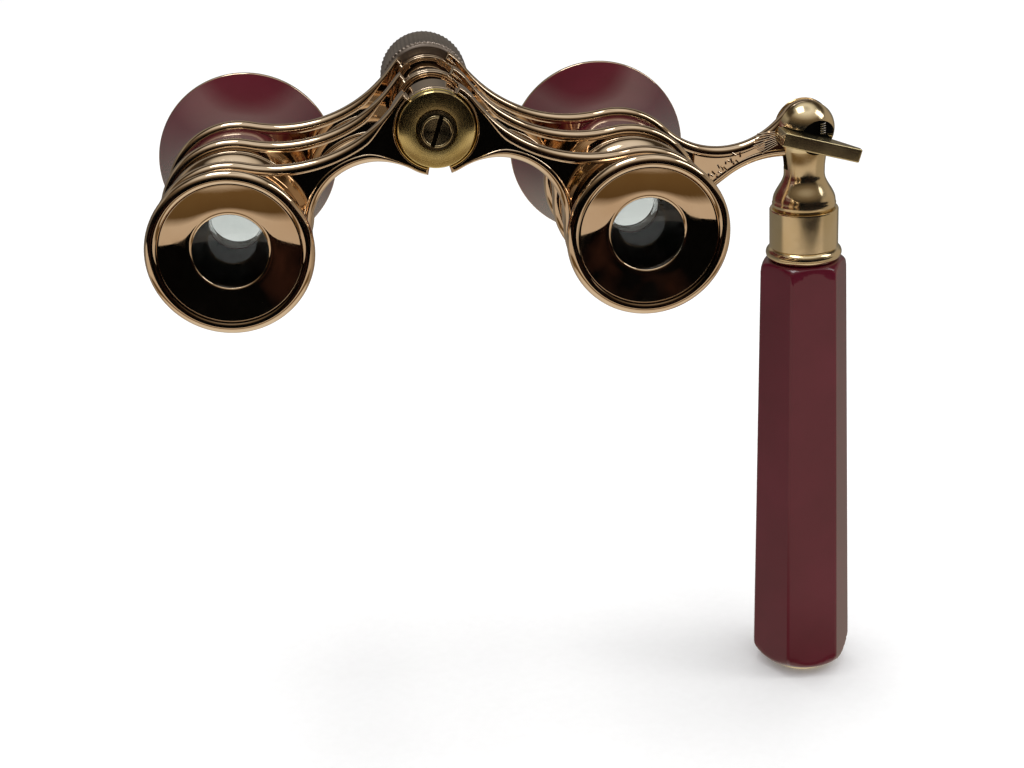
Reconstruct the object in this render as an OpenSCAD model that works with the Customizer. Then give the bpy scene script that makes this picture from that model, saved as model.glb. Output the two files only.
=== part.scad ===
// Opera glasses on a side handle: two small telescopes on a folding bridge.
// X runs to the viewer's right, Y forward along the optical axes and Z up.
// The origin is midway between the eyecups, in the plane of their widest circle.

/* [Barrels] */
// Distance between the two optical axes
eye_distance = 64; // [62:0.5:66]
// Outer radius of the objective rims
rim_r = 16; // [15.8:0.1:16.6]
// Outer radius of the barrel tubes
tube_r = 11.2; // [11.1:0.05:11.4]
// Outer radius of the eyecups
eyecup_r = 12.8; // [12.7:0.1:13.2]
// Radius of the hole that the eye looks through
pupil_r = 5.8; // [5:0.1:6.2]
// Distance from the eyecups' widest circle to the front of the rims
length = 56.5; // [56:0.5:60]

/* [Bridge] */
// Height of the hinge axis above the optical axes
hinge_z = 16.5; // [16:0.25:17.5]
// Outer radius of the bridge rings round the barrels
ring_r = 12.4; // [12.2:0.1:12.6]
// Outer radius of the hinge bosses
boss_r = 7.4; // [7.3:0.1:7.6]
// Thickness of the bridge plates
plate_t = 2.6; // [2.5:0.1:2.8]
// Radius of the concave top edge of each arm
arm_top_r = 23; // [20:1:26]
// Radius of the concave lower edge of each arm
arm_low_r = 10.5; // [10:0.5:11]

/* [Focusing] */
// Outer radius of the focusing wheel
wheel_r = 7.5; // [7:0.1:7.8]
// Number of teeth in the wheel's knurling
wheel_teeth = 60; // [40:2:72]
// Radius of the focusing shaft
shaft_r = 3.5; // [3.3:0.05:3.6]

/* [Handle] */
// Distance from the knuckle's centre to the end of the handle
handle_length = 106.5; // [90:0.5:120]
// Angle by which the handle leans outward
lean = 2.8; // [0:0.1:5]
// Radius of the knuckle ball
ball_r = 5.15; // [5.1:0.05:5.2]
// Distance from the grip's axis to its corners at the top
grip_top_r = 7.9; // [7.6:0.1:8.3]
// Distance from the grip's axis to its corners at the bottom
grip_end_r = 9.6; // [8.8:0.1:10]
// Radius of the ferrule between the neck and the grip
ferrule_r = 6.05; // [5.9:0.05:6.2]

/* [Hidden] */
$fn = 64;
// Radial clearances: a part that slides in a bore, one that turns, and one that only passes by
slide_gap = 0.03;
turn_gap = 0.03;
free_gap = 0.1;

left = -1;
right = 1;
barrel_x = eye_distance / 2;
hinge = [0, hinge_z];
barrel = [barrel_x, 0];

// Y stations, from the eye end to the objective end
lip_bulge = 1.1;
eyecup_y = 5.4;
ocular_y = 5.4;
collar_y = 12;
middle_y = 20;
front_y = 32.4;
bell_y = front_y + plate_t;
bezel_y = length - 1.3;

// Tubes
seat_r = tube_r - 0.3;
tube_bore_r = tube_r - 1.3;
bell_bore_r = tube_bore_r - 0.9;
eye_tube_r = 9.5;
eye_lens_r = 8.6;
eye_bore_r = 7.9;
eye_tube_end = 26;
lens_seat_y = 1.6;
objective_r = 13.7;
retainer_bore_r = 12.6;
objective_y = 51;
objective_edge = 1.2;
spigot_y = 30.8;
eye_lens_curve = 28;
objective_curve = 58;

// Hinge
recess_r = boss_r - 1.3;
eye_r = recess_r - 0.2;
hinge_tube_r = 5;
hinge_tube_y = [13.9, 38.6];
cap_r = recess_r - free_gap;
cap_y = 4.6;
shaft_y = [5.9, 42.9];
spacer_y = [5.9, 7.2];
sleeve_y = [9.4, 16.4];
sleeve_r = 5.5;
screw_r = 1.2;
screw_head_r = 2.45;
screw_reach = 5;
washer_r = 3.2;
wheel_y = [35.6, 48.4];
wheel_cap_y = 46.8;
wheel_seat_y = 38.8;
clip_y = [36.6, 37.2];
// Angles that the two walls of a hinge boss cover, anticlockwise from +X seen from the eye end
right_wall = [-73, 60];
left_wall = [130, 259];

// Handle, in its own frame: Z down the handle from the knuckle's centre is negative
knuckle = [barrel_x + 33.2, 7.7];
knuckle_y = front_y + plate_t / 2;
knuckle_disc_r = 4.9;
bracket_top_r = 13.5;
bracket_low_r = 16;
bracket_low_angle = 36.9;
fork_depth = 7;
fork_gap = 0.15;
pivot_r = 1.3;
pivot_y = [31.4, 38.4];
waist_r = 3.56;
neck_r = 5.5;
waist_z = -8;
neck_z = -13;
ferrule_z = -14.2;
bead_z = -21.3;
grip_z = -23.6;
grip_end_z = 1 - handle_length;
rod_r = 2.5;
tenon_r = 4.4;

// Release lever, in the handle's frame
lever_pivot = [-3.4, -0.5];
lever_tilt = -17;
lever_swing = 9;
lever_length = 11.7;
lever_tail = 2.3;
lever_t = 2.4;
lever_y = [25.9, 31.05];
lever_tip_y = 27.2;
lever_pin_r = 0.7;
lever_floor_y = 31.2;
// Round pocket in the ball round the lever
pocket = [1.3, -1];
pocket_r = 3.1;
// Lever spring: where it stands, its radius, and the ends of its wire's centre line
spring_x = 2.2;
spring_r = 0.55;
spring_z = [-0.6, 1.5];
spring_wire_r = 0.12;

// ---------------------------------------------------------------- outlines

function wrap(angle) = ((angle % 360) + 360) % 360;
function bearing(from, to) = atan2(to.y - from.y, to.x - from.x);
function polar(r, angle) = r * [cos(angle), sin(angle)];

// Points along an arc, without its last one; turn is 1 anticlockwise and -1 clockwise
function arc(centre, r, from, to, turn = 1, step = 6) =
    let (span = turn > 0 ? wrap(to - from) : wrap(to - from) - 360,
         n = max(2, ceil(abs(span) / step)))
    [for (i = [0:n - 1]) centre + polar(r, from + span * i / n)];

// Centre of a circle of radius r that touches two discs from outside
function fillet_centre(a, a_r, b, b_r, r, side) =
    let (d = norm(b - a), along = (b - a) / d, across = [-along.y, along.x],
         p = a_r + r, q = b_r + r,
         t = (p * p - q * q + d * d) / (2 * d))
    a + along * t + across * side * sqrt(p * p - t * t);

// Outline of two discs joined by a waist with a concave edge above and below
function link_outline(hub, hub_r, ring, ring_r, top_r, low_r) =
    let (top = fillet_centre(hub, hub_r, ring, ring_r, top_r, 1),
         low = fillet_centre(hub, hub_r, ring, ring_r, low_r, -1))
    concat(
        arc(ring, ring_r, bearing(ring, low), bearing(ring, top)),
        arc(top, top_r, bearing(top, ring), bearing(top, hub), -1, 3),
        arc(hub, hub_r, bearing(hub, top), bearing(hub, low)),
        arc(low, low_r, bearing(low, hub), bearing(low, ring), -1));

// Outline of the bracket that carries the handle: the barrel ring, the knuckle disc, a
// concave top edge and a lower edge that leaves the ring straight and curves to level
function bracket_outline() =
    let (top = fillet_centre(barrel, ring_r, knuckle, knuckle_disc_r, bracket_top_r, 1),
         low = knuckle + [-3.7, -knuckle_disc_r - bracket_low_r])
    concat(
        arc(barrel, ring_r, bearing(barrel, top), bracket_low_angle - 90),
        [barrel + polar(ring_r, bracket_low_angle - 90)],
        arc(low, bracket_low_r, 90 + bracket_low_angle, 90, -1, 4),
        arc(knuckle, knuckle_disc_r, -90, bearing(knuckle, top)),
        arc(top, bracket_top_r, bearing(top, knuckle), bearing(top, barrel), -1, 3));

// ---------------------------------------------------------------- builders

// A flat shape in the XZ plane, extruded from y0 to y1
module slab(y0, y1) {
    translate([0, y1, 0]) rotate([90, 0, 0]) linear_extrude(y1 - y0) children();
}

// A shape that turns about a line parallel to Y; its own Z runs along Y
module along_y(x, z) {
    translate([x, 0, z]) rotate([-90, 0, 0]) children();
}

// A turned part from [radius, y] points
module turned(x, z, points) {
    along_y(x, z) rotate_extrude() polygon(points);
}

// A rod or a bore parallel to Y
module rod(x, z, r, y0, y1) {
    along_y(x, z) translate([0, 0, y0]) cylinder(r = r, h = y1 - y0);
}

// A plain ring parallel to Y
module ring(x, z, outer, inner, y0, y1) {
    difference() {
        rod(x, z, outer, y0, y1);
        rod(x, z, inner, y0 - 1, y1 + 1);
    }
}

module fan(r, angles) {
    polygon(concat([[0, 0]], arc([0, 0], r, angles[0], angles[1]), [polar(r, angles[1])]));
}

// The wall of a hinge boss that belongs to the right arm; the left arm's is mirrored
// from angles of its own
function wall_of(side) =
    side == right ? right_wall : [180 - left_wall[1], 180 - left_wall[0]];

// Where an arm's hinge eye lies along Y in a plate: the left one behind the right one,
// each set in a little from the plate's faces
function eye_span(side, y) =
    let (set_in = 0.05, middle = y + plate_t / 2)
    side == left ? [y + set_in, middle - set_in] : [middle + set_in, y + plate_t - set_in];

// One arm of the bridge. eye_y is where its hinge eye lies along Y, and boss_end how far
// its boss reaches
module bridge_arm(side, y, boss_end, eye_y, eye_bore, ring_bore, with_bracket = false) {
    wall = wall_of(side);
    mirror([side == left ? 1 : 0, 0, 0]) difference() {
        union() {
            slab(y, y + plate_t) difference() {
                union() {
                    polygon(link_outline(hinge, boss_r, barrel, ring_r, arm_top_r, arm_low_r));
                    if (with_bracket) polygon(bracket_outline());
                }
                translate(hinge) fan(boss_r + 1, [wall[1], wall[0]]);
                translate(hinge) circle(recess_r);
            }
            if (boss_end > y + plate_t)
                slab(y + plate_t - 0.5, boss_end) translate(hinge) difference() {
                    fan(boss_r - 0.1, wall + [1, -1]);
                    circle(recess_r + 0.1);
                }
            slab(eye_y[0], eye_y[1]) translate(hinge) {
                circle(eye_r);
                fan((recess_r + boss_r) / 2, wall + [3, -3]);
            }
        }
        rod(barrel.x, barrel.y, ring_bore, y - 1, y + plate_t + 1);
        rod(hinge.x, hinge.y, eye_bore, y - 1, boss_end + 1);
        if (with_bracket) rod(knuckle.x, knuckle.y, pivot_r, y - 1, y + plate_t + 1);
    }
}

// ---------------------------------------------------------------- barrels

module barrel_tube(side) {
    color("#6b1426") turned(side * barrel_x, 0, [
        [tube_bore_r, middle_y], [seat_r, middle_y],
        [seat_r, middle_y + plate_t], [tube_r, middle_y + plate_t],
        [tube_r, front_y], [seat_r, front_y],
        [seat_r, bell_y], [tube_bore_r, bell_y]]);
}

// Radius of the bell at a fraction of its length: a trumpet that opens towards the rim
function bell_radius(t) = tube_r + 0.8 + (rim_r - tube_r - 0.9) * pow(t, 1.5);

module objective_bell(side) {
    steps = 10;
    lens_bore_r = objective_r + 0.05;
    ledge_t = 1.5;
    color("#6b1426") turned(side * barrel_x, 0, concat(
        [[bell_bore_r, spigot_y], [tube_bore_r, spigot_y], [tube_bore_r, bell_y]],
        [for (i = [0:steps]) [bell_radius(i / steps), bell_y + (bezel_y - bell_y) * i / steps]],
        [[lens_bore_r, bezel_y], [lens_bore_r, objective_y],
         [retainer_bore_r, objective_y], [retainer_bore_r, objective_y - ledge_t],
         [bell_bore_r, bell_y + 2]]));
}

module objective_bezel(side) {
    color("#d6a06c") turned(side * barrel_x, 0, [
        [objective_r - 0.3, bezel_y], [rim_r, bezel_y], [rim_r, length - 0.4],
        [rim_r - 0.4, length], [objective_r, length], [objective_r - 0.3, length - 0.3]]);
}

module objective_lens(side) {
    sag = objective_curve - sqrt(pow(objective_curve, 2) - pow(objective_r, 2));
    apex = objective_edge + sag;
    color([0.8, 0.88, 0.95, 0.4]) along_y(side * barrel_x, 0)
        translate([0, 0, objective_y]) intersection() {
            cylinder(r = objective_r, h = apex + 1);
            translate([0, 0, apex - objective_curve]) sphere(r = objective_curve, $fn = 128);
        }
}

module lens_retainer(side) {
    color("#22201f") ring(side * barrel_x, 0, objective_r, retainer_bore_r,
        objective_y + objective_edge + 0.3, bezel_y);
}

module collar(side) {
    crest = tube_r + 0.4;
    color("#d6a06c") turned(side * barrel_x, 0, concat(
        [[eye_tube_r + slide_gap, collar_y], [crest - 1.2, collar_y]],
        [for (i = [1:9]) [crest - 1.2 * pow(cos(18 * i), 2), collar_y + 0.66 * i]],
        [[tube_r - 0.3, middle_y - 1.2], [tube_r - 0.3, middle_y], [tube_bore_r, middle_y],
         [tube_bore_r, middle_y + 3], [eye_tube_r + slide_gap, middle_y + 3]]));
}

// ---------------------------------------------------------------- eyepieces

module eye_tube(side) {
    color("#2a2626") turned(side * barrel_x, 0, [
        [eye_lens_r, lens_seat_y], [eye_tube_r, lens_seat_y], [eye_tube_r, eye_tube_end],
        [eye_bore_r, eye_tube_end], [eye_bore_r, eyecup_y], [eye_lens_r, eyecup_y]]);
}

module eyecup(side) {
    lip = [eyecup_r - lip_bulge, 0];
    color("#d6a06c") turned(side * barrel_x, 0, concat(
        [[pupil_r, 0.45], [lip.x - 1.1, -0.4], [lip.x - 0.5, -0.5]],
        arc(lip, lip_bulge, -150, 60, 1, 15),
        [[tube_r, lip_bulge + 1], [tube_r - 0.2, eyecup_y], [eye_tube_r, eyecup_y],
         [eye_tube_r, lens_seat_y], [pupil_r + 0.4, lens_seat_y], [pupil_r, 0.9]]));
}

module eye_lens(side) {
    thin = 1.2;
    middle = (lens_seat_y + eyecup_y) / 2;
    color([0.8, 0.88, 0.95, 0.4]) along_y(side * barrel_x, 0) difference() {
        translate([0, 0, lens_seat_y]) cylinder(r = eye_lens_r, h = eyecup_y - lens_seat_y);
        for (end = [-1, 1])
            translate([0, 0, middle + end * (thin / 2 + eye_lens_curve)])
                sphere(r = eye_lens_curve, $fn = 96);
    }
}

// ---------------------------------------------------------------- bridge

module front_arm(side) {
    eye_y = eye_span(side, front_y);
    color("#d6a06c") bridge_arm(side, front_y, bell_y, eye_y,
        side == left ? hinge_tube_r : hinge_tube_r + turn_gap, seat_r, side == right);
}

module middle_arm(side) {
    end = middle_y + plate_t;
    eye_y = eye_span(side, middle_y);
    color("#d6a06c") bridge_arm(side, middle_y, end, eye_y,
        side == left ? hinge_tube_r : hinge_tube_r + turn_gap, seat_r);
}

module ocular_arm(side) {
    boss_end = sleeve_y[0] - free_gap;
    eye_t = (boss_end - spacer_y[1] - 0.1) / 2;
    eye_y = side == left ? [spacer_y[1], spacer_y[1] + eye_t] : [boss_end - eye_t, boss_end];
    color("#d6a06c") bridge_arm(side, ocular_y, boss_end, eye_y,
        side == left ? shaft_r : shaft_r + turn_gap, eye_tube_r);
}

// ---------------------------------------------------------------- hinge and focusing

module hinge_tube() {
    color("#d6a06c") turned(hinge.x, hinge.y, [
        [shaft_r + slide_gap, hinge_tube_y[0]], [hinge_tube_r, hinge_tube_y[0]],
        [hinge_tube_r, clip_y[0]], [hinge_tube_r - 0.5, clip_y[0]],
        [hinge_tube_r - 0.5, clip_y[1]], [hinge_tube_r, clip_y[1]],
        [hinge_tube_r, hinge_tube_y[1]], [shaft_r + slide_gap, hinge_tube_y[1]]]);
}

module focus_shaft() {
    color("#c9b06a") difference() {
        rod(hinge.x, hinge.y, shaft_r, shaft_y[0], shaft_y[1]);
        rod(hinge.x, hinge.y, screw_r, shaft_y[0] - 1, shaft_y[0] + screw_reach + 0.2);
    }
}

module focus_sleeve() {
    floor_t = 1;
    color("#d6a06c") turned(hinge.x, hinge.y, [
        [shaft_r, sleeve_y[0]], [sleeve_r, sleeve_y[0]], [sleeve_r, sleeve_y[1]],
        [hinge_tube_r + 0.04, sleeve_y[1]], [hinge_tube_r + 0.04, sleeve_y[0] + floor_t],
        [shaft_r, sleeve_y[0] + floor_t]]);
}

module focus_wheel() {
    tooth = 0.16;
    bead = 1;
    color("#8a8278") difference() {
        union() {
            slab(wheel_y[0] + bead, wheel_y[1] - bead) translate(hinge)
                polygon([for (i = [0:2 * wheel_teeth - 1])
                    polar(wheel_r - tooth * (i % 2), i * 180 / wheel_teeth)]);
            rod(hinge.x, hinge.y, wheel_r - 0.3, wheel_y[0], wheel_y[1]);
        }
        rod(hinge.x, hinge.y, hinge_tube_r + turn_gap, wheel_y[0] - 1, wheel_seat_y);
        rod(hinge.x, hinge.y, hinge_tube_r + 0.7, clip_y[0] - 0.2, clip_y[1] + 0.2);
        rod(hinge.x, hinge.y, shaft_r + turn_gap, wheel_seat_y - 1, wheel_cap_y + 1);
        rod(hinge.x, hinge.y, wheel_r - 1.5, wheel_cap_y, wheel_y[1] + 1);
    }
}

module wheel_cap() {
    color("#d6a06c") rod(hinge.x, hinge.y, wheel_r - 1.5, wheel_cap_y, wheel_y[1]);
}

module wheel_clip() {
    gap_angle = 60;
    color("#b8b4ac") slab(clip_y[0], clip_y[1]) translate(hinge) difference() {
        circle(hinge_tube_r + 0.5);
        circle(hinge_tube_r - 0.5);
        fan(2 * hinge_tube_r, [90 - gap_angle / 2, 90 + gap_angle / 2]);
    }
}

module hinge_cap() {
    bevel = 0.3;
    color("#cdb54a") turned(hinge.x, hinge.y, [
        [screw_r, cap_y + 0.5], [washer_r, cap_y + 0.5], [washer_r, cap_y],
        [cap_r - bevel, cap_y + 0.15], [cap_r, cap_y + bevel + 0.15], [cap_r, spacer_y[0]],
        [screw_r, spacer_y[0]]]);
}

module hinge_spacer() {
    groove = 0.25;
    third = (spacer_y[1] - spacer_y[0]) / 3;
    color("#d8c545") turned(hinge.x, hinge.y, [
        [shaft_r, spacer_y[0]], [cap_r - 0.1, spacer_y[0]], [cap_r - 0.1, spacer_y[0] + third],
        [cap_r - 0.1 - groove, spacer_y[0] + third],
        [cap_r - 0.1 - groove, spacer_y[1] - third], [cap_r - 0.1, spacer_y[1] - third],
        [cap_r - 0.1, spacer_y[1]], [shaft_r, spacer_y[1]]]);
}

module screw_washer() {
    teeth = 36;
    color("#8d7c45") slab(cap_y - 0.1, cap_y + 0.5) translate(hinge) difference() {
        polygon([for (i = [0:2 * teeth - 1])
            polar(washer_r - 0.2 * (i % 2) - 0.05, i * 180 / teeth)]);
        circle(screw_r);
    }
}

module hinge_screw() {
    slot_w = 0.7;
    slot_lean = 72;
    head_y = [cap_y - 0.9, cap_y - 0.1];
    color("#a8965a") difference() {
        union() {
            rod(hinge.x, hinge.y, screw_head_r, head_y[0], head_y[1]);
            rod(hinge.x, hinge.y, screw_r, head_y[0] + 0.4, shaft_y[0] + screw_reach);
        }
        translate([hinge.x, head_y[0], hinge.y]) rotate([0, -slot_lean, 0])
            cube([3 * screw_head_r, 0.9, slot_w], center = true);
    }
}

// ---------------------------------------------------------------- handle

// Places the handle's own frame: origin at the knuckle, the handle hanging along its -Z
module at_knuckle() {
    translate([knuckle.x, knuckle_y, knuckle.y]) rotate([0, -lean, 0]) children();
}

// Radius of the neck at a height: a gentle taper to the waist, then a bell to the neck's foot
function neck_radius(z) = z > waist_z
    ? waist_r + 0.63 * pow((z - waist_z) / 5, 2)
    : waist_r + (neck_r - waist_r) * (1 - cos(180 * (waist_z - z) / (waist_z - neck_z))) / 2;

module lever_slot() {
    clear = 0.15;
    slab(-2 * ball_r, lever_floor_y - knuckle_y) {
        for (swing = [0, lever_swing])
            translate(lever_pivot) rotate(lever_tilt + swing)
                translate([-ball_r, -lever_t / 2 - clear])
                    square([4 * ball_r, lever_t + 2 * clear]);
        translate(pocket) circle(pocket_r);
    }
}

module handle_head() {
    steps = 10;
    top_z = waist_z + 6;
    color("#d9b878") at_knuckle() difference() {
        union() {
            sphere(r = ball_r);
            rotate_extrude() polygon(concat(
                [[0, top_z]],
                [for (i = [0:steps]) let (z = top_z + (neck_z - top_z) * i / steps)
                    [neck_radius(z), z]],
                [[neck_r + 0.1, neck_z - 0.3], [neck_r + 0.1, neck_z - 0.8],
                 [neck_r - 0.5, neck_z - 0.9], [neck_r - 0.5, ferrule_z], [0, ferrule_z]]));
        }
        translate([-2 * ball_r, -plate_t / 2 - fork_gap, -fork_depth])
            cube([4 * ball_r, plate_t + 2 * fork_gap, 4 * ball_r]);
        lever_slot();
        translate([0, pivot_y[0] - 0.5 - knuckle_y, 0]) rotate([-90, 0, 0])
            cylinder(r = pivot_r + turn_gap, h = 2 * ball_r);
        translate([lever_pivot.x, lever_floor_y - knuckle_y - 1, lever_pivot.y]) rotate([-90, 0, 0])
            cylinder(r = lever_pin_r, h = 3);
        translate([0, 0, ferrule_z - 1]) cylinder(r = rod_r, h = 5);
    }
}

module handle_pivot() {
    color("#d9b878") rod(knuckle.x, knuckle.y, pivot_r, pivot_y[0], pivot_y[1]);
}

module lever_outline() {
    polygon([[-lever_tail, lever_y[0]], [lever_length, lever_y[0]], [lever_length, lever_tip_y],
             [lever_pin_r + 5, lever_y[1]], [-lever_tail, lever_y[1]]]);
}

module release_lever() {
    color("#c4a95c") at_knuckle() translate([lever_pivot.x, 0, lever_pivot.y])
        rotate([0, -lever_tilt, 0]) difference() {
            translate([0, -knuckle_y, -lever_t / 2]) linear_extrude(lever_t) lever_outline();
            translate([0, lever_y[1] - 2.5 - knuckle_y, 0]) rotate([-90, 0, 0])
                cylinder(r = lever_pin_r + turn_gap, h = 4);
        }
}

module lever_pin() {
    color("#c4a95c") at_knuckle()
        translate([lever_pivot.x, lever_y[1] - 2.3 - knuckle_y, lever_pivot.y]) rotate([-90, 0, 0])
            cylinder(r = lever_pin_r, h = 3.3);
}

module lever_spring() {
    turns = 5;
    pitch = (spring_z[1] - spring_z[0]) / (turns - 1);
    color("#b8b4ac") at_knuckle() translate([spring_x, lever_y[1] - 0.8 - knuckle_y, spring_z[0]])
        for (i = [0:turns - 1]) translate([0, 0, i * pitch])
            rotate_extrude() translate([spring_r, 0]) circle(spring_wire_r, $fn = 16);
}

module ferrule() {
    edge = 0.4;
    color("#d9b878") at_knuckle() rotate_extrude() polygon(concat(
        [[rod_r, ferrule_z], [ferrule_r - edge, ferrule_z], [ferrule_r, ferrule_z - edge],
         [ferrule_r, bead_z]],
        arc([ferrule_r - 0.5, (bead_z + grip_z) / 2], (bead_z - grip_z) / 2, 60, -90, -1, 15),
        [[ferrule_r - 0.5, grip_z], [tenon_r, grip_z], [tenon_r, ferrule_z - 3],
         [rod_r, ferrule_z - 3]]));
}

module grip() {
    top_round = 2;
    end_round = 4.5;
    envelope_r = grip_end_r + 0.2;
    wall = 1.4;
    cavity = [grip_end_z + end_round + 1, grip_z - 2.5];
    color("#6b1426") at_knuckle() difference() {
        intersection() {
            translate([0, 0, grip_end_z])
                cylinder(r1 = grip_end_r, r2 = grip_top_r, h = grip_z - grip_end_z, $fn = 6);
            rotate_extrude() polygon(concat(
                [[0, grip_z], [grip_top_r - top_round, grip_z]],
                arc([grip_top_r - top_round, grip_z - top_round], top_round, 75, 0, -1, 15),
                [[grip_top_r + 0.1, grip_z - 2 * top_round]],
                arc([envelope_r - end_round, grip_end_z + end_round], end_round, 0, -90, -1, 15),
                [[envelope_r - end_round, grip_end_z], [0, grip_end_z]]));
        }
        translate([0, 0, cavity[0]]) cylinder(
            r1 = grip_end_r - wall, r2 = grip_top_r - wall, h = cavity[1] - cavity[0], $fn = 6);
        translate([0, 0, grip_end_z - 1]) cylinder(r = rod_r, h = handle_length);
    }
}

module grip_rod() {
    color("#b8b4ac") at_knuckle() {
        translate([0, 0, grip_end_z]) cylinder(r = rod_r, h = ferrule_z + 4 - grip_end_z);
        translate([0, 0, grip_z]) cylinder(r = tenon_r, h = ferrule_z - 3 - grip_z);
    }
}

module end_cap() {
    color("#d9b878") at_knuckle() translate([0, 0, -handle_length])
        cylinder(r1 = grip_end_r - 4.1, r2 = grip_end_r - 3.6, h = 1);
}

barrel_tube(left);  // left_barrel_tube
objective_bell(left);  // left_objective_bell
objective_bezel(left);  // left_objective_bezel
objective_lens(left);  // left_objective_lens
lens_retainer(left);  // left_lens_retainer
front_arm(left);  // left_front_arm
middle_arm(left);  // left_middle_arm
collar(left);  // left_collar
ocular_arm(left);  // left_ocular_arm
eye_tube(left);  // left_eye_tube
eyecup(left);  // left_eyecup
eye_lens(left);  // left_eye_lens
barrel_tube(right);  // right_barrel_tube
objective_bell(right);  // right_objective_bell
objective_bezel(right);  // right_objective_bezel
objective_lens(right);  // right_objective_lens
lens_retainer(right);  // right_lens_retainer
front_arm(right);  // right_front_arm
middle_arm(right);  // right_middle_arm
collar(right);  // right_collar
ocular_arm(right);  // right_ocular_arm
eye_tube(right);  // right_eye_tube
eyecup(right);  // right_eyecup
eye_lens(right);  // right_eye_lens
hinge_tube();
focus_shaft();
focus_sleeve();
focus_wheel();
wheel_cap();
wheel_clip();
hinge_cap();
hinge_spacer();
screw_washer();
hinge_screw();
handle_head();
handle_pivot();
release_lever();
lever_pin();
lever_spring();
ferrule();
grip();
grip_rod();
end_cap();
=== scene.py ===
"""Opera glasses on a side handle: the visual model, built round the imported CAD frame."""
import math

import bmesh
import bpy
from mathutils import Matrix, Vector


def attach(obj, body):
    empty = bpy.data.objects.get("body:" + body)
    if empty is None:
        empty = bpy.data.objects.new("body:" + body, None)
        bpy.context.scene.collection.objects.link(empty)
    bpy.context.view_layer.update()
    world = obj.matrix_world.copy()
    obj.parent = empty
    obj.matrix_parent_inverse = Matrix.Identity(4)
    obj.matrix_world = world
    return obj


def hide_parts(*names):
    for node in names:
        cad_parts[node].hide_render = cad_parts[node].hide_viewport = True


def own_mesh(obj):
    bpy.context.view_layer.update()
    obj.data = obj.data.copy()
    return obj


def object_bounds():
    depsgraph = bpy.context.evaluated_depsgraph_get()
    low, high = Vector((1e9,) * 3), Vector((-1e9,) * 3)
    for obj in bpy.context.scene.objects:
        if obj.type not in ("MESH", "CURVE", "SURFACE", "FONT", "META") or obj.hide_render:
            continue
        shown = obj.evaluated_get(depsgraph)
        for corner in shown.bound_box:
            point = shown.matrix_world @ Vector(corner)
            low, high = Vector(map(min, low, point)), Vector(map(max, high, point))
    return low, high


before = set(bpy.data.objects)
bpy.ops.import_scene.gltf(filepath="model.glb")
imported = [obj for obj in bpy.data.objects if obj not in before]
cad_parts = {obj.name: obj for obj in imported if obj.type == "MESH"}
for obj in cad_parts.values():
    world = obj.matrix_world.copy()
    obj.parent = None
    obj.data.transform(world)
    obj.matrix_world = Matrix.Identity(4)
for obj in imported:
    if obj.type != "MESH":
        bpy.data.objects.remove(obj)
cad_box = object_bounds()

scene = bpy.context.scene
MM = 0.001
TURN = 2 * math.pi
FINE = 160

# Stations and radii in millimetres, as in the CAD source
BARREL_X = 32.0
HINGE = (0.0, 16.5)
RING_R = 12.4
BOSS_R = 7.4
RECESS_R = 6.1
EYE_R = 5.9
PLATE_T = 2.6
OCULAR_Y = 5.4
MIDDLE_Y = 20.0
FRONT_Y = 32.4
BELL_Y = 35.0
BEZEL_Y = 55.2
END_Y = 56.5
TUBE_R = 11.2
TUBE_BORE = 9.9
SEAT_R = 10.9
EYE_TUBE_R = 9.5
SHAFT_R = 3.5
HINGE_TUBE_R = 5.0
KNUCKLE = (65.2, 33.7, 7.7)
LEAN = math.radians(2.8)
BALL_R = 5.15

# The handle's bracket: the disc at the knuckle, the hollow edge above and the one below
DISC_R = 4.9
CROWN_R = 13.5
SAG_R = 16.0
SAG = (KNUCKLE[0] - 3.7, KNUCKLE[2] - DISC_R - SAG_R)

RIGHT_WALL = (-73.0, 60.0)
LEFT_WALL = (-79.0, 50.0)


# ---------------------------------------------------------------- outlines

def polar(centre, radius, degrees):
    turn = math.radians(degrees)
    return (centre[0] + radius * math.cos(turn), centre[1] + radius * math.sin(turn))


def bearing(a, b):
    return math.degrees(math.atan2(b[1] - a[1], b[0] - a[0]))


def arc(centre, radius, start, end, direction=1, step=3.0):
    """Points along an arc, both ends included; direction is 1 anticlockwise, -1 clockwise."""
    span = (end - start) % 360
    if direction < 0:
        span -= 360
    count = max(2, math.ceil(abs(span) / step))
    return [polar(centre, radius, start + span * i / count) for i in range(count + 1)]


def touching(a, ra, b, rb, r, side):
    """Centre of the circle of radius r that touches two discs from outside."""
    dx = b[0] - a[0]
    dy = b[1] - a[1]
    d = math.hypot(dx, dy)
    p = ra + r
    q = rb + r
    t = (p * p - q * q + d * d) / (2 * d)
    h = side * math.sqrt(p * p - t * t)
    return (a[0] + dx / d * t - dy / d * h, a[1] + dy / d * t + dx / d * h)


def rounded(points, steps=6):
    """A closed outline whose corners (u, v, radius) become arcs."""
    out = []
    count = len(points)
    for i, point in enumerate(points):
        corner = Vector(point[:2])
        radius = point[2] if len(point) > 2 else 0
        if radius <= 0:
            out.append(tuple(corner))
            continue
        back = Vector(points[i - 1][:2]) - corner
        ahead = Vector(points[(i + 1) % count][:2]) - corner
        u = back.normalized()
        v = ahead.normalized()
        half = u.angle(v) / 2
        reach = min(radius / math.tan(half), 0.49 * back.length, 0.49 * ahead.length)
        radius = reach * math.tan(half)
        centre = corner + (u + v).normalized() * radius / math.sin(half)
        first = corner + u * reach - centre
        last = corner + v * reach - centre
        a = math.atan2(first.y, first.x)
        b = math.atan2(last.y, last.x)
        sweep = (b - a + math.pi) % TURN - math.pi
        for k in range(steps + 1):
            turn = a + sweep * k / steps
            out.append((centre.x + radius * math.cos(turn), centre.y + radius * math.sin(turn)))
    return out


# ---------------------------------------------------------------- mesh builders

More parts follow.
